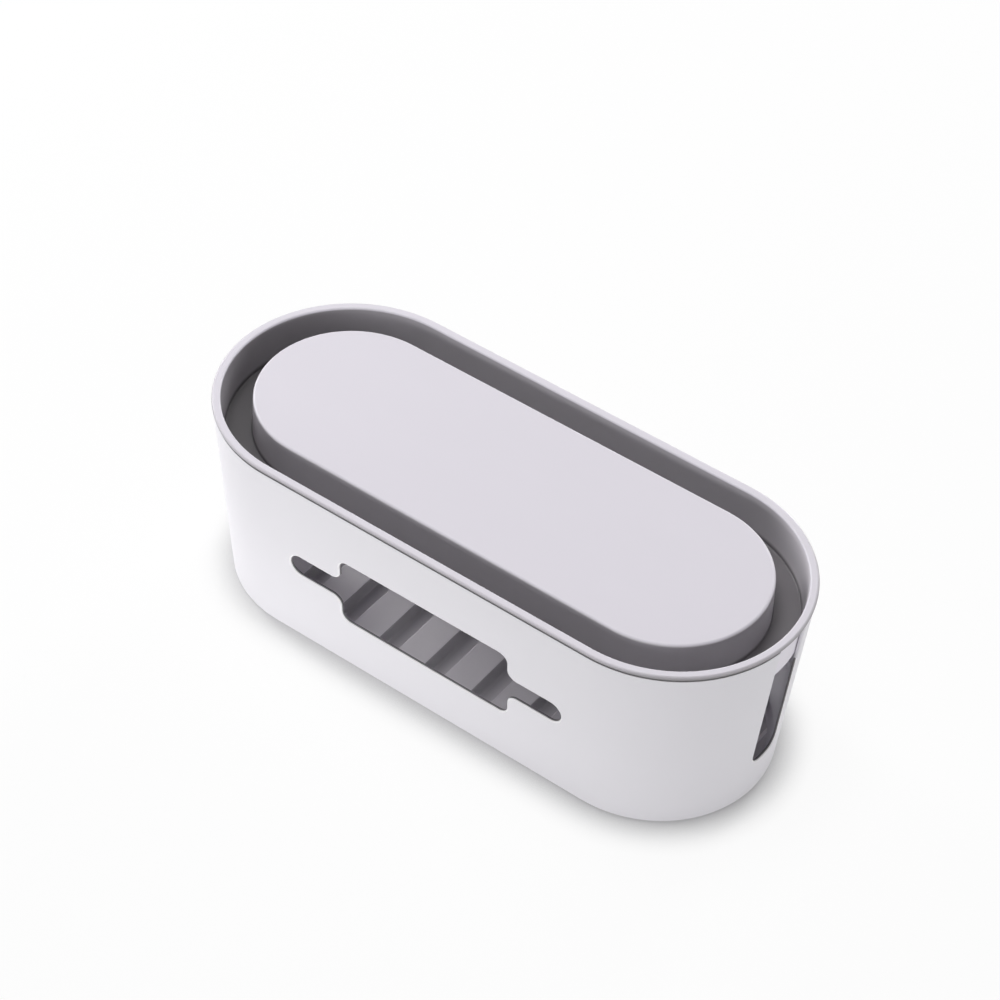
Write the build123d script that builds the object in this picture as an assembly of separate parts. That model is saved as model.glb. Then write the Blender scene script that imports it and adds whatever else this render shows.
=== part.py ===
from build123d import *
import math
import os

os.makedirs("parts", exist_ok=True)

# A cable management box: an obround tub that stands on four rubber feet, and a lid that lifts
# straight off. The lid is a tray: a rim that caps the tub, a channel all round that props up a
# phone or tablet, and a flat plateau in the middle. All sizes are in millimetres. X is the length,
# Y the depth, -Y the front, and Z is up from the surface that the box stands on.

# Overall size
length = 320.0
width = 135.0
height = 110.0

# Tub
tub_wall = 1.8
base_inset = 8.0  # how far the outline has drawn in at the base
base_bevel = 1.2
floor_thickness = 2.2
floor_corner_bevel = 3.0
shadow_gap_height = 1.4  # the step under the rim that parts tub and lid to the eye
shadow_gap_depth = 0.8

# Raised slats across the floor, which keep a power strip off it
slat_pitch = 28.0
slat_top_width = 16.4
slat_rise = 6.0
slat_side_lean = 1.5
slat_rounding = 1.0
slat_offset = 7.1  # of the slat nearest the middle, along X
slat_end_margin = 8.0

# Shaped windows in the two long walls
window_sill_height = 32.0  # above the tub's underside
window_head_margin = 11.2  # below the lid's channel
window_end_margin = 13.0  # from the tail's tip to where the wall starts to turn
window_tail_length = 30.5
window_tail_height = 12.4
window_corner_rounding = 5.0
window_neck_rounding = 5.5
window_edge_bevel = 0.9

# Notches in the two ends, open at the top, where the leads lie
notch_width = 20.0
notch_sill_height = 24.0  # above the tub's underside
notch_corner_rounding = 6.0

# Lid
rim_thickness = 2.0
rim_overhang = 0.5
rim_bevel = 0.9
rim_lower_bevel = 0.9
rim_inner_bevel = 0.5
lid_clearance = 0.3  # between the lid's skirt and the tub's wall
lid_wall = 1.8
channel_width = 15.5
channel_depth = 22.0
channel_floor_thickness = 1.8
skirt_bevel = 0.8
plateau_drop = 0.8  # below the rim
plateau_thickness = 2.0
plateau_wall = 1.8
plateau_rounding = 1.5
plateau_lean = 0.6  # how far the plateau's side spreads from top to channel floor

# Feet
foot_diameter = 12.0
foot_stand = 1.0  # how far a foot stands out below the tub
foot_seat_depth = 0.8
foot_seat_clearance = 0.15
foot_seat_wall = 1.8
foot_edge_margin = 12.0  # from the tub's base outline to the foot

# Levels and places worked out from the sizes above
half_width = width / 2
half_spine = (length - width) / 2  # the obround's two end centres lie at +-half_spine on X
tub_base = foot_stand
tub_top = height - rim_thickness
floor_top = tub_base + floor_thickness
slat_top = floor_top + slat_rise
channel_floor = height - channel_depth
lid_underside = channel_floor - channel_floor_thickness
plateau_top = height - plateau_drop
plateau_ceiling = plateau_top - plateau_thickness
wall_slope = (base_inset - rim_overhang) / (tub_top - tub_base)
through_cut = width  # long enough to pass right through any wall


def wall_reach(z, inset=0.0):
    """Distance from the spine to the tub's tapered outer face at height z, less an inset."""
    return half_width - rim_overhang - (tub_top - z) * wall_slope - inset


def eased_outline(corners):
    """A face drawn on XZ through (x, z, rounding) corners. A negative rounding bevels the corner."""
    outline = make_face(Polyline(*[(x, 0, z) for x, z, _ in corners], close=True))
    for x, z, rounding in corners:
        corner = outline.vertices().sort_by_distance((x, 0, z))[0]
        if rounding > 0:
            outline = fillet(corner, rounding)
        elif rounding < 0:
            outline = chamfer(corner, -rounding)
    return outline


def carry_round(half_section):
    """Carries a half section, drawn on XZ from the spine outwards, round the obround plan."""
    front_section = Rot(Z=-90) * half_section
    end = Pos(half_spine, 0, 0) * revolve(front_section, Axis.Z, 180)
    front = extrude(Pos(-half_spine, 0, 0) * front_section, 2 * half_spine, dir=(1, 0, 0))
    turned = [Rot(Z=180) * end, Rot(Z=180) * front]
    return end + front + turned


def slat_profiles(top_width, top_level, rounding):
    """One face for each slat of the floor, with sides that lean out down to the tub's base."""
    reach = half_spine + wall_reach(floor_top, tub_wall) - slat_end_margin
    edge = slat_top_width / 2 + slat_side_lean
    lean = slat_side_lean / slat_rise
    first = math.ceil((edge - reach - slat_offset) / slat_pitch)
    last = math.floor((reach - edge - slat_offset) / slat_pitch)
    top = top_width / 2
    foot = top + (top_level - tub_base) * lean
    profiles = []
    for number in range(first, last + 1):
        x = slat_offset + number * slat_pitch
        corners = [
            (x - foot, tub_base, 0),
            (x + foot, tub_base, 0),
            (x + top, top_level, rounding),
            (x - top, top_level, rounding),
        ]
        profiles.append(eased_outline(corners))
    return profiles


def across(profiles):
    """Runs XZ profiles along Y, through the whole depth of the box."""
    return [extrude(profile, through_cut, both=True) for profile in profiles]


def obround_block(reach, low, high):
    """An upright obround block whose outline lies at one distance from the spine."""
    plan = SlotCenterToCenter(2 * half_spine, 2 * reach)
    return extrude(Pos(0, 0, low) * plan, high - low)


def window_outline():
    """A rounded window with a round-ended tail at each side, joined by hollow-cornered necks."""
    sill = tub_base + window_sill_height
    head = lid_underside - window_head_margin
    middle = (sill + head) / 2
    tip = half_spine - window_end_margin
    side = tip - window_tail_length
    tail = window_tail_height / 2
    step = head - middle - tail
    corner = min(window_corner_rounding, step * 0.45)
    neck = min(window_neck_rounding, step * 0.5)
    tail_rounding = tail * 0.98
    right_side = [
        (side, sill, corner),
        (side, middle - tail, neck),
        (tip, middle - tail, tail_rounding),
        (tip, middle + tail, tail_rounding),
        (side, middle + tail, neck),
        (side, head, corner),
    ]
    left_side = [(-x, z, rounding) for x, z, rounding in reversed(right_side)]
    return eased_outline(right_side + left_side)


def feet_places():
    """Name and plan position of each foot."""
    y = wall_reach(tub_base) - foot_edge_margin - foot_diameter / 2
    return {
        "foot_front_left": (-half_spine, -y),
        "foot_front_right": (half_spine, -y),
        "foot_back_left": (-half_spine, y),
        "foot_back_right": (half_spine, y),
    }


def make_tub():
    gap_level = tub_top - shadow_gap_height
    shell = carry_round(
        eased_outline(
            [
                (0, tub_base, 0),
                (wall_reach(tub_base), tub_base, -base_bevel),
                (wall_reach(gap_level), gap_level, 0),
                (wall_reach(gap_level, shadow_gap_depth), gap_level, 0),
                (wall_reach(gap_level, shadow_gap_depth), tub_top, 0),
                (wall_reach(tub_top, tub_wall), tub_top, 0),
                (wall_reach(floor_top, tub_wall), floor_top, -floor_corner_bevel),
                (0, floor_top, 0),
            ]
        )
    )

    # Raised slats, moulded hollow from below, so that the floor keeps one thickness
    inside = wall_reach(floor_top, tub_wall)
    slats = across(slat_profiles(slat_top_width, slat_top, slat_rounding))
    tub = shell + [slat & obround_block(inside + tub_wall / 2, tub_base, slat_top) for slat in slats]
    hollow_width = slat_top_width - 2 * floor_thickness
    hollow_level = slat_top - floor_thickness
    hollows = across(slat_profiles(hollow_width, hollow_level, 0))
    under_floor = obround_block(inside, tub_base, slat_top)
    seat_radius = foot_diameter / 2 + foot_seat_clearance
    for x, y in feet_places().values():
        boss = Cylinder(seat_radius + foot_seat_wall, slat_top, align=(Align.CENTER, Align.CENTER, Align.MIN))
        under_floor -= Pos(x, y, 0) * boss
    tub -= [hollow & under_floor for hollow in hollows]

    # Round seats for the feet
    for x, y in feet_places().values():
        seat = Cylinder(seat_radius, foot_seat_depth, align=(Align.CENTER, Align.CENTER, Align.MIN))
        tub -= Pos(x, y, tub_base) * seat

    # Notches in both ends, open at the top
    notch_sill = tub_base + notch_sill_height
    notch = Plane.YZ * make_face(
        Polyline(
            (-notch_width / 2, notch_sill),
            (notch_width / 2, notch_sill),
            (notch_width / 2, height),
            (-notch_width / 2, height),
            close=True,
        )
    )
    sill_corners = notch.vertices().group_by(Axis.Z)[0]
    notch = fillet(sill_corners, notch_corner_rounding)
    tub -= extrude(notch, length, both=True)

    # Windows through both long walls, with their outer edges bevelled
    tub -= extrude(window_outline(), through_cut, both=True)
    pierced_walls = [face for face in tub.faces().sort_by(Axis.Y) if face.inner_wires()]
    for wall in (pierced_walls[0], pierced_walls[-1]):
        tub = chamfer(wall.inner_wires()[0].edges(), window_edge_bevel)
    return tub


def make_lid():
    skirt = tub_wall + lid_clearance
    channel_side = skirt + lid_wall
    plateau_edge = wall_reach(height, channel_side) - channel_width
    plateau_foot = plateau_edge + plateau_lean
    return carry_round(
        eased_outline(
            [
                (half_width, height, -rim_bevel),
                (half_width, tub_top, -rim_lower_bevel),
                (wall_reach(tub_top, skirt), tub_top, 0),
                (wall_reach(lid_underside, skirt), lid_underside, -skirt_bevel),
                (plateau_foot - plateau_wall, lid_underside, 0),
                (plateau_edge - plateau_wall, plateau_ceiling, 0),
                (0, plateau_ceiling, 0),
                (0, plateau_top, 0),
                (plateau_edge, plateau_top, plateau_rounding),
                (plateau_foot, channel_floor, 0),
                (wall_reach(channel_floor, channel_side), channel_floor, 0),
                (wall_reach(height, channel_side), height, -rim_inner_bevel),
            ]
        )
    )


def make_foot():
    """A rubber disc that stands on its lower face and sits in a seat in the tub's underside."""
    return Cylinder(foot_diameter / 2, foot_stand + foot_seat_depth, align=(Align.CENTER, Align.CENTER, Align.MIN))


export_step(make_tub(), "parts/tub.step")
export_step(make_lid(), "parts/lid.step")
for name, (x, y) in feet_places().items():
    export_step(Pos(x, y, 0) * make_foot(), f"parts/{name}.step")
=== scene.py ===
import math

import bmesh
import bpy
from mathutils import Matrix, Vector


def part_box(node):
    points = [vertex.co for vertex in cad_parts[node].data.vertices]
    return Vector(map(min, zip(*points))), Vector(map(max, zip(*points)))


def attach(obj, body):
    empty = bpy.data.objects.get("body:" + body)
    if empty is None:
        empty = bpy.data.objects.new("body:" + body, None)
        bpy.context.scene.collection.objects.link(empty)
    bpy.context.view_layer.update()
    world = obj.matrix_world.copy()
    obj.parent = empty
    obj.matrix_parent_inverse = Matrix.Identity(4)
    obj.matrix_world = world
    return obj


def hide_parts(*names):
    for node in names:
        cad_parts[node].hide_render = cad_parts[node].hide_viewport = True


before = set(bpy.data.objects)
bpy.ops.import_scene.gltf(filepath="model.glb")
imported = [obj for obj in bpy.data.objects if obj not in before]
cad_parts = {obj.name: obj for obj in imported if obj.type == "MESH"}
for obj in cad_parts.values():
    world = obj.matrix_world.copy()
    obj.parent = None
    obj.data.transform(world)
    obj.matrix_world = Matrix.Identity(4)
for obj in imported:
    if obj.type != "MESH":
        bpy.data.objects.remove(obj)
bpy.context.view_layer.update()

# ---------------------------------------------------------------------------------------------
# Tub shell. One injection moulding in satin white plastic: an obround bowl whose thin wall draws
# in a little towards the base and is stepped back under the lid's rim, so that a dark line parts
# the two, deepened by painted shade on the step and on the rim's side. A half section, drawn as
# distance from the spine and height, is carried all the way round.
mm = 0.001
tub_low, tub_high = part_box("tub")
lid_low, lid_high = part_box("lid")
half_width = lid_high.y
half_spine = lid_high.x - lid_high.y
box_height = lid_high.z
tub_base = tub_low.z
tub_top = tub_high.z
tub_wall = 1.8 * mm
base_inset = 8.0 * mm
rim_overhang = 0.5 * mm
base_rounding = 1.4 * mm
floor_thickness = 2.2 * mm
floor_corner_rounding = 3.6 * mm
floor_top = tub_base + floor_thickness
shadow_gap_height = 1.4 * mm
shadow_gap_depth = 0.8 * mm
top_edge_rounding = 0.3 * mm
end_steps = 72  # facets round each end
crease_angle = math.radians(32)  # edges that turn more than this stay crisp


def wall_reach(z, inset=0.0):
    """Distance from the spine to the tub's tapered outer face at height z, less an inset."""
    slope = (base_inset - rim_overhang) / (tub_top - tub_base)
    return half_width - rim_overhang - (tub_top - z) * slope - inset


def eased(corners, closed=False, arc_steps=6):
    """Points along (across, up, rounding) corners, with an arc at each corner that has a rounding."""
    points = []
    for number, (across, up, rounding) in enumerate(corners):
        corner = Vector((across, up))
        is_end = not closed and number in (0, len(corners) - 1)
        if is_end or not rounding:
            points.append(corner)
            continue
        back = (Vector(corners[number - 1][:2]) - corner).normalized()
        ahead = (Vector(corners[(number + 1) % len(corners)][:2]) - corner).normalized()
        half_angle = back.angle(ahead) / 2
        centre = corner + (back + ahead).normalized() * rounding / math.sin(half_angle)
        start = corner + back * rounding / math.tan(half_angle) - centre
        end = corner + ahead * rounding / math.tan(half_angle) - centre
        sweep = start.angle(end)
        for step in range(arc_steps + 1):
            share = step / arc_steps
            turned = start * math.sin((1 - share) * sweep) + end * math.sin(share * sweep)
            points.append(centre + turned / math.sin(sweep))
    return points


def new_piece(name, rows, edges=(), faces=()):
    """An object at the origin with the given mesh."""
    mesh = bpy.data.meshes.new(name)
    mesh.from_pydata(rows, edges, faces)
    piece = bpy.data.objects.new(name, mesh)
    bpy.context.scene.collection.objects.link(piece)
    return piece


def drawn(name, points, filled=False):
    """An outline on the XZ plane: its points joined by edges, or one filled face."""
    rows = [(point.x, 0, point.y) for point in points]
    numbers = list(range(len(rows)))
    if filled:
        return new_piece(name, rows, faces=[numbers])
    return new_piece(name, rows, edges=list(zip(numbers, numbers[1:])))


def add(tree, kind, inputs=None, **options):
    """Adds a node to a tree, sets its options, and sets its inputs or links nodes and sockets to them."""
    made = tree.nodes.new(kind)
    for option, value in options.items():
        setattr(made, option, value)
    for socket, given in (inputs or {}).items():
        for value in given if isinstance(given, list) else [given]:
            if isinstance(value, bpy.types.Node):
                value = next(output for output in value.outputs if output.enabled)
            if isinstance(value, bpy.types.NodeSocket):
                tree.links.new(value, made.inputs[socket])
            else:
                made.inputs[socket].default_value = value
    return made


def figure(tree, operation, first, second=0.0):
    """A Math node."""
    return add(tree, "ShaderNodeMath", {0: first, 1: second}, operation=operation)


def new_tree(name, **sockets):
    """A Geometry Nodes tree with a Geometry socket each way and one named input for each size."""
    tree = bpy.data.node_groups.new(name, "GeometryNodeTree")
    tree.interface.new_socket("Geometry", in_out="INPUT", socket_type="NodeSocketGeometry")
    tree.interface.new_socket("Geometry", in_out="OUTPUT", socket_type="NodeSocketGeometry")
    for socket, kind in {**sockets, "plastic": "Material"}.items():
        label = socket.replace("_", " ").title()
        tree.interface.new_socket(label, in_out="INPUT", socket_type="NodeSocket" + kind)
    return tree, tree.nodes.new("NodeGroupInput").outputs


def finish_tree(tree, given, geometry):
    """The end of every tree: crisp edges where the form turns sharply, one plastic, no instances."""
    turn = add(tree, "GeometryNodeInputMeshEdgeAngle")
    sharp = add(tree, "FunctionNodeCompare", {0: turn, 1: crease_angle}, operation="GREATER_THAN")
    smooth = add(tree, "GeometryNodeSetShadeSmooth", {"Geometry": geometry, "Shade Smooth": True})
    creased = {"Geometry": smooth, "Name": "sharp_edge", "Value": sharp}
    marked = add(tree, "GeometryNodeStoreNamedAttribute", creased, data_type="BOOLEAN", domain="EDGE")
    dressed = add(tree, "GeometryNodeSetMaterial", {"Geometry": marked, "Material": given["Plastic"]})
    real = add(tree, "GeometryNodeRealizeInstances", {"Geometry": dressed})
    tree.links.new(real.outputs[0], tree.nodes.new("NodeGroupOutput").inputs[0])


def grown(piece, tree, **values):
    """Runs a tree on an object with the given input values, and leaves the object its plain mesh."""
    modifier = piece.modifiers.new(tree.name, "NODES")
    modifier.node_group = tree
    for item in tree.interface.items_tree:
        value = values.get(item.name.lower().replace(" ", "_"))
        if item.in_out == "INPUT" and value is not None:
            modifier[item.identifier] = value
    shading = piece.modifiers.new("even_shading", "WEIGHTED_NORMAL")
    shading.keep_sharp = True
    evaluated = piece.evaluated_get(bpy.context.evaluated_depsgraph_get())
    mesh = bpy.data.meshes.new_from_object(evaluated)
    mesh.name = piece.name
    piece.modifiers.clear()
    piece.data = mesh
    return piece


def carried_round_tree():
    """Carries a half section round an obround. Each row of a grid is a point of the section, and
    each column is a station round the two ends, and both are then put in their places."""
    tree, given = new_tree("carried_round", half_spine="Float", end_steps="Int")
    steps = given["End Steps"]
    size = add(tree, "GeometryNodeAttributeDomainSize", {0: given["Geometry"]}, component="MESH")
    all_round = figure(tree, "MULTIPLY", figure(tree, "ADD", steps, 1), 2)
    stations = figure(tree, "ADD", all_round, 1)
    grid = add(tree, "GeometryNodeMeshGrid", {"Vertices X": stations, "Vertices Y": size})
    index = figure(tree, "ADD", add(tree, "GeometryNodeInputIndex"), 0.5)
    column = figure(tree, "FLOOR", figure(tree, "DIVIDE", index, size))
    row = figure(tree, "FLOOR", figure(tree, "MODULO", index, size))
    place = add(tree, "GeometryNodeInputPosition")
    sampled = {"Geometry": given["Geometry"], "Value": place, "Index": row}
    point = add(tree, "GeometryNodeSampleIndex", sampled, data_type="FLOAT_VECTOR")
    reach_level = add(tree, "ShaderNodeSeparateXYZ", {0: point}).outputs
    station = figure(tree, "MODULO", column, all_round)
    on_left = figure(tree, "GREATER_THAN", station, figure(tree, "ADD", steps, 0.5))
    half_turns = figure(tree, "DIVIDE", figure(tree, "SUBTRACT", station, on_left), steps)
    angle = figure(tree, "MULTIPLY", figure(tree, "SUBTRACT", half_turns, 0.5), math.pi)
    side = figure(tree, "SUBTRACT", 1.0, figure(tree, "MULTIPLY", on_left, 2))
    centre = figure(tree, "MULTIPLY", side, given["Half Spine"])
    along = figure(tree, "MULTIPLY", reach_level["X"], figure(tree, "COSINE", angle))
    across = figure(tree, "MULTIPLY", reach_level["X"], figure(tree, "SINE", angle))
    ends = {0: figure(tree, "ADD", centre, along), 1: across, 2: reach_level["Z"]}
    spread = add(tree, "ShaderNodeCombineXYZ", ends)
    placed = add(tree, "GeometryNodeSetPosition", {"Geometry": grid, "Position": spread})
    welded = add(tree, "GeometryNodeMergeByDistance", {"Geometry": placed, "Distance": 1e-6})
    finish_tree(tree, given, welded)
    return tree


def moulded_plastic(name, colour, gloss_floor):
    """Satin plastic from a spark-eroded mould: a fine grain, a slow drift of tone along the flow of
    the melt, and a gloss that changes a little with both."""
    material = bpy.data.materials.new(name)
    material.use_nodes = True
    tree = material.node_tree
    place = add(tree, "ShaderNodeTexCoord").outputs["Object"]
    flow = add(tree, "ShaderNodeMapping", {"Vector": place, "Scale": (0.4, 1.0, 1.0)})
    drift = add(tree, "ShaderNodeTexNoise", {"Vector": flow, "Scale": 14.0, "Detail": 3.0})
    grain = add(tree, "ShaderNodeTexNoise", {"Vector": place, "Scale": 1900.0, "Detail": 2.0})
    ripple = add(tree, "ShaderNodeTexNoise", {"Vector": place, "Scale": 120.0, "Detail": 1.0})
    tone = add(tree, "ShaderNodeMapRange", {"Value": drift, "To Min": 0.975, "To Max": 1.025})
    tint = add(tree, "ShaderNodeVectorMath", {0: colour[:3], "Scale": tone}, operation="SCALE")
    drift_share, grain_share = figure(tree, "MULTIPLY", drift, 0.6), figure(tree, "MULTIPLY", grain, 0.4)
    patchy = figure(tree, "ADD", drift_share, grain_share)
    gloss = {"Value": patchy, "To Min": gloss_floor, "To Max": gloss_floor + 0.12}
    low_bump = {"Height": ripple, "Strength": 0.05, "Distance": 0.2 * mm}
    high_bump = {"Height": grain, "Strength": 0.12, "Distance": 0.03 * mm}
    high_bump["Normal"] = add(tree, "ShaderNodeBump", low_bump)
    shader = tree.nodes["Principled BSDF"]
    tree.links.new(tint.outputs[0], shader.inputs["Base Color"])
    tree.links.new(add(tree, "ShaderNodeMapRange", gloss).outputs[0], shader.inputs["Roughness"])
    tree.links.new(add(tree, "ShaderNodeBump", high_bump).outputs[0], shader.inputs["Normal"])
    return material


def place_on(tree):
    """A material's own X, Y and Z."""
    place = add(tree, "ShaderNodeTexCoord").outputs["Object"]
    return add(tree, "ShaderNodeSeparateXYZ", {0: place}).outputs


def from_spine_and_level(tree):
    """A material's own measure of the distance from the spine, and of the height."""
    place = place_on(tree)
    past_end = figure(tree, "SUBTRACT", figure(tree, "ABSOLUTE", place["X"]), half_spine)
    past_end = figure(tree, "POWER", figure(tree, "MAXIMUM", past_end), 2)
    across = figure(tree, "POWER", figure(tree, "ABSOLUTE", place["Y"]), 2)
    return figure(tree, "SQRT", figure(tree, "ADD", past_end, across)), place["Z"]


def between(tree, value, low, high):
    """1 where the value lies between the two, and 0 elsewhere."""
    above = figure(tree, "GREATER_THAN", value, low)
    return figure(tree, "MULTIPLY", above, figure(tree, "LESS_THAN", value, high))


def fade(tree, value, start, end):
    """Rises smoothly from 0 at the start value to 1 at the end value."""
    span = {"Value": value, "From Min": start, "From Max": end}
    return add(tree, "ShaderNodeMapRange", span, interpolation_type="SMOOTHSTEP")


def blend_tones(tree, share, *tones):
    """The first tone where the share is 0, and the second where it is 1."""
    first, second = ((*tone, 1) if isinstance(tone, tuple) else tone for tone in tones)
    return add(tree, "ShaderNodeMix", {"Factor": share, 6: first, 7: second}, data_type="RGBA").outputs[2]


def lay_over(material, share, tone):
    """Lays a tone over a plastic as painted shading, as far as the share says. It stands in for the
    play of light in corners and gaps, and isn't the plastic's own colour."""
    tree = material.node_tree
    shader = tree.nodes["Principled BSDF"]
    white = shader.inputs["Base Color"].links[0].from_socket
    tree.links.new(blend_tones(tree, share, white, tone), shader.inputs["Base Color"])


def shade_gap(material, tone):
    """Darkens the step under the rim, where no light gets in."""
    tree = material.node_tree
    from_spine, level = from_spine_and_level(tree)
    high = figure(tree, "GREATER_THAN", level, gap_level - 0.05 * mm)
    deep = between(tree, from_spine, wall_reach(tub_top, tub_wall * 0.8), wall_reach(gap_level, 0.1 * mm))
    lay_over(material, figure(tree, "MULTIPLY", high, deep), tone)


def paint_edge_highlight_and_cut_shade(material, edge_depth, edge_highlight_tone, cut_shade_tone):
    """Paints a highlight on the outer edge of every opening down to a depth, and paints shade on the cut
    behind it.
    """
    tree = material.node_tree
    from_spine, level = from_spine_and_level(tree)
    tapered = {"Value": level, "From Min": tub_base, "From Max": tub_top}
    tapered["To Min"], tapered["To Max"] = wall_reach(tub_base), wall_reach(tub_top)
    depth = figure(tree, "SUBTRACT", add(tree, "ShaderNodeMapRange", tapered), from_spine)
    high = between(tree, level, tub_base + 20 * mm, tub_top - 24 * mm)
    edge = figure(tree, "MULTIPLY", high, between(tree, depth, 0.02 * mm, edge_depth))
    cut = figure(tree, "MULTIPLY", high, between(tree, depth, edge_depth, tub_wall - 0.15 * mm))
    lay_over(material, edge, edge_highlight_tone)
    lay_over(material, cut, cut_shade_tone)


carried_round = carried_round_tree()
gap_level = tub_top - shadow_gap_height
tub_plastic = moulded_plastic("tub_satin_white", (0.79, 0.775, 0.815), 0.40)
shade_gap(tub_plastic, tone=(0.42, 0.41, 0.42))
# Painted highlight on the openings' rounded outer edges, painted shade on their cut faces.
paint_edge_highlight_and_cut_shade(
    tub_plastic,
    edge_depth=0.6 * mm,
    edge_highlight_tone=(0.97, 0.955, 0.98),
    cut_shade_tone=(0.22, 0.21, 0.22),
)
tub_section = eased(
    [
        (0, tub_base, 0),
        (wall_reach(tub_base), tub_base, base_rounding),
        (wall_reach(gap_level), gap_level, top_edge_rounding),
        (wall_reach(gap_level, shadow_gap_depth), gap_level, 0),
        (wall_reach(gap_level, shadow_gap_depth), tub_top, top_edge_rounding),
        (wall_reach(tub_top, tub_wall), tub_top, top_edge_rounding),
        (wall_reach(floor_top, tub_wall), floor_top, floor_corner_rounding),
        (0, floor_top, 0),
    ]
)
tub_shell = grown(
    drawn("tub_shell", tub_section),
    carried_round,
    half_spine=half_spine,
    end_steps=end_steps,
    plastic=tub_plastic,
)

# ---------------------------------------------------------------------------------------------
# Slats across the tub's floor, which keep a power strip off it. They are part of the moulding and
# hollow from below, so that the floor keeps one thickness, with round bosses left for the feet.
slat_pitch = 28.0 * mm
slat_top_width = 16.4 * mm
slat_rise = 6.0 * mm
slat_side_lean = 1.5 * mm
slat_top_rounding = 1.0 * mm
slat_root_rounding = 1.2 * mm
root_dip = 0.3 * mm  # how far the root's rounding runs out below the floor's face
slat_offset = 7.1 * mm
slat_end_margin = 8.0 * mm
slat_top = floor_top + slat_rise
foot_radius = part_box("foot_front_left")[1].x / 2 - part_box("foot_front_left")[0].x / 2
foot_seat_radius = foot_radius + 0.15 * mm
foot_seat_wall = 1.8 * mm
foot_names = ["foot_front_left", "foot_front_right", "foot_back_left", "foot_back_right"]
slack = 2.0 * mm  # how far a cutting form stands out past what it cuts


def slat_row_tree():
    """Runs a slat's filled profile across the box, and repeats it along the box."""
    tree, given = new_tree("slat_row", depth="Float", count="Int", first_x="Float", pitch="Float")
    across = add(tree, "ShaderNodeCombineXYZ", {"Y": given["Depth"]})
    whole = {"Mesh": given["Geometry"], "Offset": across, "Offset Scale": 1.0, "Individual": False}
    front = add(tree, "GeometryNodeFlipFaces", {"Mesh": add(tree, "GeometryNodeExtrudeMesh", whole)})
    both = add(tree, "GeometryNodeJoinGeometry", {"Geometry": [front, given["Geometry"]]})
    bar = add(tree, "GeometryNodeMergeByDistance", {"Geometry": both, "Distance": 1e-6})
    half_back = figure(tree, "MULTIPLY", given["Depth"], -0.5)
    start = add(tree, "ShaderNodeCombineXYZ", {"X": given["First X"], "Y": half_back})
    step = add(tree, "ShaderNodeCombineXYZ", {"X": given["Pitch"]})
    line = {"Count": given["Count"], "Start Location": start, "Offset": step}
    places = add(tree, "GeometryNodeMeshLine", line)
    bars = add(tree, "GeometryNodeInstanceOnPoints", {"Points": places, "Instance": bar})
    finish_tree(tree, given, add(tree, "GeometryNodeRealizeInstances", {"Geometry": bars}))
    return tree


def obround_block(name, reach, low, high):
    """An upright obround block, which trims what runs out into the wall."""
    corners = [(0, low, 0), (reach, low, 0), (reach, high, 0), (0, high, 0)]
    block = drawn(name, eased(corners))
    return grown(block, carried_round, half_spine=half_spine, end_steps=end_steps)


def round_block(name, radius, low, high, place, steps=24):
    """An upright round block at a place on the plan."""
    corners = [(0, low, 0), (radius, low, 0), (radius, high, 0), (0, high, 0)]
    block = grown(drawn(name, eased(corners)), carried_round, half_spine=0.0, end_steps=steps)
    block.data.transform(Matrix.Translation((place.x, place.y, 0)))
    return block


def shade_slats(material, lit_left_tone, shaded_right_tone, slat_shadow_tone, lit_side_tone):
    """Paints light and shade on the floor inside: a tone that falls from lit on the left to shaded on
    the right. Each slat's right side and the trough beyond it get painted shadow, the trough grows
    lighter to the next slat, and its left side gets painted light."""
    tree = material.node_tree
    from_spine, level = from_spine_and_level(tree)
    within = figure(tree, "LESS_THAN", from_spine, inside - 3 * mm)
    low = between(tree, level, floor_top - 0.5 * mm, slat_top + slack)
    on_floor = figure(tree, "MULTIPLY", within, low)
    place = place_on(tree)
    far_left = slat_offset - 20 * slat_pitch  # the middle of a slat well past the left end
    along = figure(tree, "SUBTRACT", place["X"], far_left)
    past_slat = figure(tree, "MODULO", along, slat_pitch)
    beyond = figure(tree, "GREATER_THAN", past_slat, slat_top_width / 2 - 0.3 * mm)
    next_root = slat_pitch - slat_root
    trough = {"Value": past_slat, "From Min": slat_root + 2 * mm, "From Max": next_root}
    trough.update({"To Min": 1.0, "To Max": 0.05})
    shade = figure(tree, "MULTIPLY", beyond, add(tree, "ShaderNodeMapRange", trough))
    shade = figure(tree, "MULTIPLY", shade, figure(tree, "LESS_THAN", past_slat, next_root))
    left_side = between(tree, past_slat, next_root, slat_pitch - slat_top_width / 2 + 0.2 * mm)
    rightward = fade(tree, place["X"], -half_spine, half_spine)
    lay_over(material, on_floor, blend_tones(tree, rightward, lit_left_tone, shaded_right_tone))
    lay_over(material, figure(tree, "MULTIPLY", on_floor, shade), slat_shadow_tone)
    lay_over(material, figure(tree, "MULTIPLY", on_floor, left_side), lit_side_tone)


slat_row = slat_row_tree()
inside = wall_reach(floor_top, tub_wall)
slat_root = slat_top_width / 2 + slat_side_lean
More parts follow.
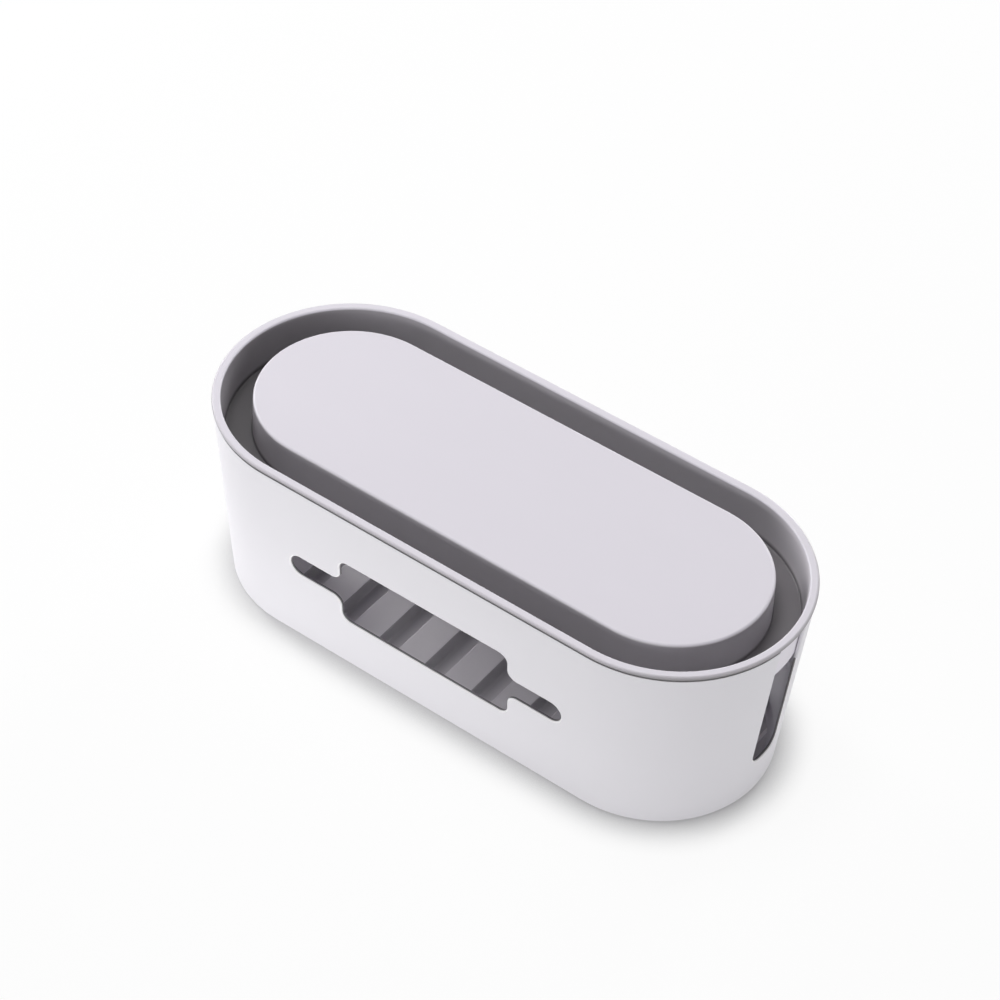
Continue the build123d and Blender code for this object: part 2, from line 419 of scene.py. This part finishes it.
# Painted light and shade on the slats and troughs inside the tub.
shade_slats(
    tub_plastic,
    lit_left_tone=(1.0, 0.975, 1.0),
    shaded_right_tone=(0.72, 0.7, 0.725),
    slat_shadow_tone=(0.46, 0.45, 0.47),
    lit_side_tone=(1.0, 0.98, 1.0),
)
slat_reach = half_spine + inside - slat_end_margin - slat_root
first_slat = math.ceil((-slat_reach - slat_offset) / slat_pitch)
last_slat = math.floor((slat_reach - slat_offset) / slat_pitch)
row_sizes = {
    "depth": 2 * half_width,
    "count": last_slat - first_slat + 1,
    "first_x": slat_offset + first_slat * slat_pitch,
    "pitch": slat_pitch,
}
slat_skirt = slat_root + 2 * slat_root_rounding
slat_profile = eased(
    [
        (-slat_skirt, floor_top - slack / 2, 0),
        (slat_skirt, floor_top - slack / 2, 0),
        (slat_skirt, floor_top - root_dip, 0),
        (slat_root, floor_top, slat_root_rounding),
        (slat_top_width / 2, slat_top, slat_top_rounding),
        (-slat_top_width / 2, slat_top, slat_top_rounding),
        (-slat_root, floor_top, slat_root_rounding),
        (-slat_skirt, floor_top - root_dip, 0),
    ],
    closed=True,
)
slats = grown(drawn("slats", slat_profile, filled=True), slat_row, **row_sizes)
slat_trim = obround_block("slat_trim", inside + tub_wall / 2, floor_top - slack, slat_top + slack)

hollow_top = slat_top_width / 2 - floor_thickness
hollow_root = hollow_top + slat_side_lean
hollow_profile = eased(
    [
        (-hollow_root, tub_base - slack, 0),
        (hollow_root, tub_base - slack, 0),
        (hollow_top, slat_top - floor_thickness, 0.5 * mm),
        (-hollow_top, slat_top - floor_thickness, 0.5 * mm),
    ],
    closed=True,
)
hollows = grown(drawn("hollows", hollow_profile, filled=True), slat_row, **row_sizes)
hollow_trim = obround_block("hollow_trim", inside - tub_wall, tub_base - 2 * slack, slat_top)
foot_places = {}
for name in foot_names:
    foot_low, foot_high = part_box(name)
    foot_places[name] = (foot_low + foot_high) / 2
boss_radius = foot_seat_radius + foot_seat_wall
bosses = [
    round_block("boss_" + name, boss_radius, tub_base - 3 * slack, slat_top + slack, place)
    for name, place in foot_places.items()
]
seat_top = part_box("foot_front_left")[1].z
seats = [
    round_block("seat_" + name, foot_seat_radius, tub_base - slack, seat_top, place)
    for name, place in foot_places.items()
]

# ---------------------------------------------------------------------------------------------
# Openings in the tub: a shaped window with a slot at each side in both long walls, and a notch in
# each end where the leads leave under the lid. The mould rounds the outer edge of every opening.
window_sill = tub_base + 32.0 * mm
window_head = lid_low.z - 11.2 * mm
window_tip = half_spine - 13.0 * mm
window_tail_length = 30.5 * mm
window_tail_height = 12.4 * mm
window_corner_rounding = 5.0 * mm
window_neck_rounding = 5.5 * mm
notch_width = 20.0 * mm
notch_sill = tub_base + 24.0 * mm
notch_corner_rounding = 6.0 * mm
outer_edge_rounding = 1.1 * mm
inner_edge_rounding = 0.3 * mm
edge_steps = 5
grazing = math.radians(14)  # the angle at which a rounded edge leaves the face


def front_wall(x, z, depth):
    return (x, -wall_reach(z, depth), z)


def back_wall(x, z, depth):
    return (x, wall_reach(z, depth), z)


def right_end(y, z, depth):
    return (half_spine + math.sqrt(wall_reach(z, depth) ** 2 - y ** 2), y, z)


def left_end(y, z, depth):
    return (-half_spine - math.sqrt(wall_reach(z, depth) ** 2 - y ** 2), y, z)


def divided(points, longest):
    """A closed outline with its long sides divided."""
    result = []
    for here, ahead in zip(points, points[1:] + points[:1]):
        parts = math.ceil((ahead - here).length / longest)
        result += [here.lerp(ahead, part / parts) for part in range(parts)]
    return result


def edge_rings():
    """Pairs of depth below the outer face and spread of the outline, from outside to inside."""
    angles = [grazing + (math.pi / 2 - grazing) * step / edge_steps for step in range(edge_steps + 1)]
    outer = [(1 - math.cos(angle), 1 - math.sin(angle)) for angle in angles]
    rings = [(depth * outer_edge_rounding, spread * outer_edge_rounding) for depth, spread in outer]
    rings += [
        (tub_wall - depth * inner_edge_rounding, spread * inner_edge_rounding)
        for depth, spread in reversed(outer)
    ]
    run = 2 * outer_edge_rounding
    first = (rings[0][0] - run * math.sin(grazing), rings[0][1] + run * math.cos(grazing))
    last = (rings[-1][0] + run * math.sin(grazing), rings[-1][1] + run * math.cos(grazing))
    return [(-slack, first[1]), first] + rings + [last, (tub_wall + slack, last[1])]


def wall_plug(name, outline, wall):
    """A closed plug of an opening's outline, which flares out where it meets both faces of the wall.
    Its two caps aren't quite flat, so they are cut up into triangles."""
    rows = []
    rings = edge_rings()
    count = len(outline)
    for depth, spread in rings:
        for number, point in enumerate(outline):
            run = outline[(number + 1) % count] - outline[number - 1]
            outward = Vector((run.y, -run.x)).normalized()
            across, up = point + outward * spread
            rows.append(wall(across, up, depth))
    faces = [list(range(count))[::-1], list(range(len(rows) - count, len(rows)))]
    for ring in range(len(rings) - 1):
        for number in range(count):
            here, ahead = ring * count + number, ring * count + (number + 1) % count
            faces.append([here, ahead, ahead + count, here + count])
    plug = new_piece(name, rows, faces=faces)
    solid = bmesh.new()
    solid.from_mesh(plug.data)
    bmesh.ops.triangulate(solid, faces=[face for face in solid.faces if len(face.verts) > 4])
    if solid.calc_volume(signed=True) < 0:
        bmesh.ops.reverse_faces(solid, faces=solid.faces)
    solid.to_mesh(plug.data)
    solid.free()
    return plug


window_middle = (window_sill + window_head) / 2
window_side = window_tip - window_tail_length
tail = window_tail_height / 2
right_side = [
    (window_side, window_sill, window_corner_rounding),
    (window_side, window_middle - tail, window_neck_rounding),
    (window_tip, window_middle - tail, tail * 0.98),
    (window_tip, window_middle + tail, tail * 0.98),
    (window_side, window_middle + tail, window_neck_rounding),
    (window_side, window_head, window_corner_rounding),
]
left_side = [(-x, z, rounding) for x, z, rounding in reversed(right_side)]
window = eased(right_side + left_side, closed=True, arc_steps=8)
notch_corners = [
    (-notch_width / 2, notch_sill, notch_corner_rounding),
    (notch_width / 2, notch_sill, notch_corner_rounding),
    (notch_width / 2, box_height, 0),
    (-notch_width / 2, box_height, 0),
]
notch = divided(eased(notch_corners, closed=True, arc_steps=8), 3.0 * mm)
plugs = [
    wall_plug("front_window_plug", window, front_wall),
    wall_plug("back_window_plug", window, back_wall),
    wall_plug("right_notch_plug", notch, right_end),
    wall_plug("left_notch_plug", notch, left_end),
]


def joined(name, parts):
    """One object that holds the meshes of several, which are removed."""
    together = bmesh.new()
    for part in parts:
        together.from_mesh(part.data)
        bpy.data.objects.remove(part)
    whole = new_piece(name, [])
    together.to_mesh(whole.data)
    together.free()
    return whole


def moulding_tree():
    """Adds the trimmed slats to the shell, and cuts the hollows, seats and openings out of it."""
    forms = ["slats", "slat_trim", "hollows", "hollow_trim", "bosses", "openings"]
    tree, given = new_tree("moulding", **{form: "Object" for form in forms})
    shapes = {}
    for form in forms:
        info = add(tree, "GeometryNodeObjectInfo", {"Object": given[form.replace("_", " ").title()]})
        shapes[form] = info.outputs["Geometry"]

    def cut(operation, first, second):
        inputs = {"Mesh 2": [first, second]}
        if operation == "DIFFERENCE":
            inputs = {"Mesh 1": first, "Mesh 2": second}
        return add(tree, "GeometryNodeMeshBoolean", inputs, operation=operation, solver="EXACT")

    bars = cut("INTERSECT", shapes["slats"], shapes["slat_trim"])
    room = cut("DIFFERENCE", shapes["hollow_trim"], shapes["bosses"])
    below = cut("INTERSECT", shapes["hollows"], room)
    ribbed = cut("UNION", given["Geometry"], bars)
    pierced = cut("DIFFERENCE", cut("DIFFERENCE", ribbed, below), shapes["openings"])
    clean = add(tree, "GeometryNodeMergeByDistance", {"Geometry": pierced, "Distance": 2e-6})
    finish_tree(tree, given, clean)
    return tree


tub = tub_shell
tub.name = "moulded_tub"
forms = {
    "slats": slats,
    "slat_trim": slat_trim,
    "hollows": hollows,
    "hollow_trim": hollow_trim,
    "bosses": joined("bosses", bosses),
    "openings": joined("openings", plugs + seats),
}
grown(tub, moulding_tree(), plastic=tub_plastic, **forms)
for form in forms.values():
    bpy.data.objects.remove(form)
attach(tub, "tub")
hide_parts("tub")

# ---------------------------------------------------------------------------------------------
# Lid. One moulding of the same white plastic, a tray that drops into the tub: its rim caps the
# tub's wall, a channel goes all the way round to prop up a phone or tablet, and a flat plateau
# stands in the middle. Nothing holds it but its weight.
lid_clearance = 0.3 * mm
lid_wall = 1.8 * mm
channel_width = 15.5 * mm
channel_depth = 22.0 * mm
channel_corner_rounding = 0.8 * mm
rim_top_rounding = 1.2 * mm
rim_lower_rounding = 0.75 * mm
rim_inner_rounding = 0.9 * mm
skirt_rounding = 0.8 * mm
plateau_drop = 0.8 * mm
plateau_thickness = 2.0 * mm
plateau_wall = 1.8 * mm
plateau_rounding = 1.5 * mm
plateau_lean = 0.6 * mm
channel_floor = box_height - channel_depth
plateau_top = box_height - plateau_drop
plateau_ceiling = plateau_top - plateau_thickness
skirt = tub_wall + lid_clearance
channel_side = skirt + lid_wall
plateau_edge = wall_reach(box_height, channel_side) - channel_width
plateau_foot = plateau_edge + plateau_lean
lit_angle = math.radians(30)  # where, round the right end, the channel's wall faces the light


def shade_channel(material, high_shade_tone, low_shade_tone, lit_tone, away_shade_tone, floor_shade_tone, away_floor_shade_tone):
    """Paints shade into the channel, on the wall from just under the rim's inner edge and on the
    plateau's side from just under its rounding, with less of it on the plateau's back edge. The wall
    round the right end, where it faces the light, keeps more of its white as a painted lit patch. The
    left end, turned away from the light, keeps less, and the channel's floor gets the darkest painted
    shade."""
    tree = material.node_tree
    from_spine, level = from_spine_and_level(tree)
    middle = plateau_edge + channel_width / 2
    on_plateau = between(tree, from_spine, plateau_edge - plateau_wall / 2, middle)
    place = place_on(tree)
    on_back = fade(tree, figure(tree, "DIVIDE", place["Y"], from_spine), 0.5, 0.9)
    raised = figure(tree, "ADD", level, figure(tree, "MULTIPLY", on_back, 0.45 * mm))
    below_plateau = fade(tree, raised, plateau_top - 0.1 * mm, plateau_top - 1.3 * mm)
    tapered = {"Value": level, "From Min": channel_floor, "From Max": box_height}
    tapered["To Min"] = wall_reach(channel_floor, channel_side - lid_wall / 2)
    tapered["To Max"] = wall_reach(box_height, channel_side - lid_wall / 2)
    on_wall = between(tree, from_spine, middle, add(tree, "ShaderNodeMapRange", tapered, clamp=False))
    below_rim = fade(tree, level, box_height - 0.7 * mm, box_height - 1.5 * mm)
    inner = figure(tree, "MULTIPLY", on_plateau, below_plateau)
    share = figure(tree, "ADD", inner, figure(tree, "MULTIPLY", on_wall, below_rim))
    past_right_end = figure(tree, "SUBTRACT", place["X"], half_spine)
    along = figure(tree, "MULTIPLY", past_right_end, math.cos(lit_angle))
    towards = figure(tree, "ADD", along, figure(tree, "MULTIPLY", place["Y"], math.sin(lit_angle)))
    turned = fade(tree, figure(tree, "DIVIDE", towards, from_spine), 0.66, 0.97)
    high = fade(tree, level, channel_floor + 6 * mm, box_height)
    lit = figure(tree, "MULTIPLY", figure(tree, "MULTIPLY", turned, high), on_wall)
    past_left_end = figure(tree, "SUBTRACT", figure(tree, "MULTIPLY", place["X"], -1), half_spine)
    away = fade(tree, figure(tree, "DIVIDE", past_left_end, from_spine), -0.1, 0.8)
    down = {"Value": level, "From Min": box_height, "From Max": channel_floor}
    depth = add(tree, "ShaderNodeMapRange", down)
    tone = blend_tones(tree, depth, high_shade_tone, low_shade_tone)
    tone = blend_tones(tree, away, tone, away_shade_tone)
    tone = blend_tones(tree, lit, tone, lit_tone)
    at_floor = fade(tree, level, channel_floor + 3.5 * mm, channel_floor + 0.4 * mm)
    floor_tones = blend_tones(tree, away, floor_shade_tone, away_floor_shade_tone)
    lay_over(material, share, blend_tones(tree, at_floor, tone, floor_tones))


def shade_rim(material, tone):
    """Paints shade on the rim's side, deeper towards the line that parts lid and tub, and on the
    skirt just below it. The rim's back, where the light falls, keeps its white.
    """
    tree = material.node_tree
    from_spine, level = from_spine_and_level(tree)
    side = figure(tree, "GREATER_THAN", from_spine, half_width - 1.2 * mm)
    place = place_on(tree)
    on_back = fade(tree, figure(tree, "DIVIDE", place["Y"], from_spine), 0.8, 0.97)
    on_right = fade(tree, place["X"], half_spine + 10 * mm, half_spine + 40 * mm)
    drop = add(tree, "ShaderNodeMapRange", {"Value": level, "From Min": box_height, "From Max": tub_top})
    quick = figure(tree, "SUBTRACT", 0.6, figure(tree, "MULTIPLY", on_right, 0.25))
    low_side = figure(tree, "MULTIPLY", side, figure(tree, "POWER", drop, quick))
    low_side = figure(tree, "MULTIPLY", low_side, figure(tree, "SUBTRACT", 1.0, on_back))
    skirt_face = between(tree, from_spine, half_width - 4 * mm, half_width - 1.2 * mm)
    high_skirt = fade(tree, level, tub_top - 4.2 * mm, tub_top - 2.8 * mm)
    below = between(tree, level, 0.0, tub_top + 0.05 * mm)
    high_skirt = figure(tree, "MULTIPLY", figure(tree, "MULTIPLY", skirt_face, high_skirt), below)
    lay_over(material, figure(tree, "ADD", low_side, high_skirt), tone)


lid_plastic = moulded_plastic("lid_satin_white", (0.80, 0.768, 0.835), 0.40)
# Painted shade in the channel, with a painted lit patch round the right end.
shade_channel(
    lid_plastic,
    high_shade_tone=(0.54, 0.52, 0.555),
    low_shade_tone=(0.62, 0.60, 0.63),
    lit_tone=(0.9, 0.87, 0.92),
    away_shade_tone=(0.46, 0.44, 0.47),
    floor_shade_tone=(0.16, 0.15, 0.16),
    away_floor_shade_tone=(0.09, 0.085, 0.09),
)
# Painted shade on the rim's side and on the skirt just under it.
shade_rim(lid_plastic, tone=(0.24, 0.23, 0.24))
lid_section = eased(
    [
        (0, plateau_ceiling, 0),
        (plateau_edge - plateau_wall, plateau_ceiling, 0.8 * mm),
        (plateau_foot - plateau_wall, lid_low.z, 0.8 * mm),
        (wall_reach(lid_low.z, skirt), lid_low.z, skirt_rounding),
        (wall_reach(tub_top, skirt), tub_top, 0),
        (half_width, tub_top, rim_lower_rounding),
        (half_width, box_height, rim_top_rounding),
        (wall_reach(box_height, channel_side), box_height, rim_inner_rounding),
        (wall_reach(channel_floor, channel_side), channel_floor, channel_corner_rounding),
        (plateau_foot, channel_floor, channel_corner_rounding),
        (plateau_edge, plateau_top, plateau_rounding),
        (0, plateau_top, 0),
    ],
    arc_steps=8,
)
lid = grown(
    drawn("moulded_lid", lid_section),
    carried_round,
    half_spine=half_spine,
    end_steps=end_steps,
    plastic=lid_plastic,
)
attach(lid, "lid")
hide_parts("lid")

# ---------------------------------------------------------------------------------------------
# Feet. Four discs of grey rubber, glued into the seats in the tub's underside, which stand out by
# a millimetre and have a shallow dish in their lower face.
foot_edge_rounding = 0.4 * mm
foot_dish_radius = 3.6 * mm
foot_dish_depth = 0.25 * mm
foot_dish_run = 0.5 * mm


def rubber(name, colour):
    """Matt rubber, with the fine pitting of its mould and a little dust-grey in patches."""
    material = bpy.data.materials.new(name)
    material.use_nodes = True
    tree = material.node_tree
    place = add(tree, "ShaderNodeTexCoord").outputs["Object"]
    patches = add(tree, "ShaderNodeTexNoise", {"Vector": place, "Scale": 260.0, "Detail": 3.0})
    pitting = add(tree, "ShaderNodeTexNoise", {"Vector": place, "Scale": 2600.0, "Detail": 2.0})
    tone = add(tree, "ShaderNodeMapRange", {"Value": patches, "To Min": 0.88, "To Max": 1.12})
    tint = add(tree, "ShaderNodeVectorMath", {0: colour, "Scale": tone}, operation="SCALE")
    dulled = add(tree, "ShaderNodeMapRange", {"Value": patches, "To Min": 0.68, "To Max": 0.86})
    bump = {"Height": pitting, "Strength": 0.3, "Distance": 0.05 * mm}
    shader = tree.nodes["Principled BSDF"]
    tree.links.new(tint.outputs[0], shader.inputs["Base Color"])
    tree.links.new(dulled.outputs[0], shader.inputs["Roughness"])
    tree.links.new(add(tree, "ShaderNodeBump", bump).outputs[0], shader.inputs["Normal"])
    return material


foot_rubber = rubber("foot_grey_rubber", (0.42, 0.42, 0.43))
foot_section = eased(
    [
        (0, foot_dish_depth, 0),
        (foot_dish_radius, foot_dish_depth, foot_dish_depth),
        (foot_dish_radius + foot_dish_run, 0, foot_dish_depth),
        (foot_radius, 0, foot_edge_rounding),
        (foot_radius, seat_top, 0.1 * mm),
        (0, seat_top, 0),
    ],
    arc_steps=4,
)
for name, place in foot_places.items():
    foot = drawn("rubber_" + name, foot_section)
    grown(foot, carried_round, half_spine=0.0, end_steps=32, plastic=foot_rubber)
    foot.data.transform(Matrix.Translation((place.x, place.y, 0)))
    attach(foot, "tub")
    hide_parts(name)

# ---------------------------------------------------------------------------------------------
# Studio. A white paper floor, a dim and even sky, and five soft lamps: one high above, one behind,
# one at the left end, and two low ones at the front left and the right. The floor throws a little
# more light back at the front left than it shows.
floor_size = 30.0
paper_glow = 0.92  # the share of the floor's white that doesn't depend on the light, away from the object
contact_glow = 0.1  # the same share close under the object, where its shadow stays
bounce_glow = 0.6  # the same share for the light that the floor throws back
pool_place = (-0.15, -0.16, 0.0)  # where that light is strongest
pool_light = 1.9
pool_near, pool_far = 0.08, 0.35  # between these distances from there it falls to the rest's level
rest_light = 0.82
contact_reach = 0.02
open_from, open_to = 0.45, 0.95  # shares of open sky at which the contact shadow is full and gone
horizon_light = 0.12
zenith_light = 0.10


def seen_directly(tree):
    """1 for rays from the camera and for reflections, 0 for the light on surfaces."""
    rays = add(tree, "ShaderNodeLightPath").outputs
    mirrored = figure(tree, "MAXIMUM", rays["Is Glossy Ray"], rays["Is Transmission Ray"])
    return figure(tree, "MAXIMUM", rays["Is Camera Ray"], mirrored)


bpy.ops.mesh.primitive_plane_add(size=floor_size)
floor = bpy.context.object
floor.name = "studio_floor"
paper = bpy.data.materials.new("studio_paper")
paper.use_nodes = True
tree = paper.node_tree
surface = tree.nodes["Principled BSDF"]
surface.inputs["Roughness"].default_value = 0.9
on_paper = add(tree, "ShaderNodeNewGeometry").outputs["Position"]
spot = add(tree, "ShaderNodeVectorMath", {0: on_paper, 1: pool_place}, operation="DISTANCE")
pool = {"Value": spot.outputs["Value"], "From Min": pool_near, "From Max": pool_far}
pool.update({"To Min": pool_light, "To Max": rest_light})
pool_fall = add(tree, "ShaderNodeMapRange", pool)
glow = add(tree, "ShaderNodeEmission")
brightness = add(tree, "ShaderNodeMix", {"Factor": seen_directly(tree), 2: pool_fall, 3: 1.0})
tree.links.new(brightness.outputs[0], glow.inputs["Strength"])
openness = add(tree, "ShaderNodeAmbientOcclusion", {"Distance": contact_reach}, samples=8).outputs["AO"]
opening = {"Value": openness, "From Min": open_from, "From Max": open_to}
opened = add(tree, "ShaderNodeMapRange", {**opening, "To Min": contact_glow, "To Max": paper_glow})
share = add(tree, "ShaderNodeMix", {"Factor": seen_directly(tree), 2: bounce_glow, 3: opened})
# Close under the object the paper's colour also darkens with its occlusion: a painted contact shadow on
# top of the lamps' real one.
dulled = add(tree, "ShaderNodeMapRange", {**opening, "To Min": 0.6, "To Max": 0.93})
tree.links.new(dulled.outputs[0], surface.inputs["Base Color"])
blend = add(tree, "ShaderNodeMixShader", {0: share, 1: surface, 2: glow})
tree.links.new(blend.outputs[0], tree.nodes["Material Output"].inputs["Surface"])
floor.data.materials.append(paper)

world = bpy.data.worlds.new("studio_sky")
bpy.context.scene.world = world
world.use_nodes = True
tree = world.node_tree
direction = add(tree, "ShaderNodeTexCoord").outputs["Generated"]
height = add(tree, "ShaderNodeSeparateXYZ", {0: direction}).outputs["Z"]
fall = {"Value": height, "From Min": 0.25, "From Max": 0.8}
fall.update({"To Min": horizon_light, "To Max": zenith_light})
sky = add(tree, "ShaderNodeMapRange", fall, interpolation_type="SMOOTHSTEP")
level = add(tree, "ShaderNodeMix", {"Factor": seen_directly(tree), 2: sky, 3: 1.0})
tree.links.new(level.outputs[0], tree.nodes["Background"].inputs["Strength"])
tree.nodes["Background"].inputs["Color"].default_value = (1, 1, 1, 1)


def softbox(name, distance, side_angle, height_angle, size, light):
    """A rectangular lamp that points at the object, from an angle round from +X and an angle above
    the floor. It gives a face turned to it the stated light, as a share of what makes white white."""
    turned, raised = math.radians(side_angle), math.radians(height_angle)
    flat = math.cos(raised)
    way = Vector((math.cos(turned) * flat, math.sin(turned) * flat, math.sin(raised)))
    lamp = bpy.data.lights.new(name, "AREA")
    lamp.shape = "RECTANGLE"
    lamp.size, lamp.size_y = size
    lamp.energy = light * (math.pi * distance) ** 2
    stand = bpy.data.objects.new(name, lamp)
    bpy.context.scene.collection.objects.link(stand)
    place = Vector((0, 0, box_height / 2)) + way * distance
    stand.matrix_world = Matrix.Translation(place) @ way.to_track_quat("Z", "Y").to_matrix().to_4x4()


for name, distance, side_angle, height_angle, size, light in (
    ("top_light", 1.8, 200, 82, (0.9, 0.7), 0.52),
    ("back_light", 2.1, 93, 16, (0.6, 0.5), 0.38),
    ("left_light", 1.6, 170, 20, (0.35, 0.45), 0.36),
    ("front_left_light", 2.2, 243, 9, (1.6, 0.5), 0.27),
    ("right_light", 2.6, 350, 4, (1.8, 0.3), 0.24),
):
    softbox(name, distance, side_angle, height_angle, size, light)

# ---------------------------------------------------------------------------------------------
# Camera. A long lens from the front right, above the box.
image_size = 1000
focal_pixels = 2824.2
camera_place = Vector((0.5308, -0.7865, 1.0253))
azimuth, elevation, roll = (math.radians(degrees) for degrees in (34.19, 44.42, 3.289))
flat = math.cos(elevation)
ahead = Vector((-math.sin(azimuth) * flat, math.cos(azimuth) * flat, -math.sin(elevation)))
level_right = ahead.cross(Vector((0, 0, 1))).normalized()
right = level_right * math.cos(roll) + level_right.cross(ahead) * math.sin(roll)
turn = Matrix((right, right.cross(ahead), -ahead)).transposed().to_4x4()
camera = bpy.data.objects.new("camera", bpy.data.cameras.new("camera"))
bpy.context.scene.collection.objects.link(camera)
camera.data.lens = camera.data.sensor_width * focal_pixels / image_size
camera.matrix_world = Matrix.Translation(camera_place) @ turn
bpy.context.scene.camera = camera
bpy.context.scene.view_settings.view_transform = "Standard"
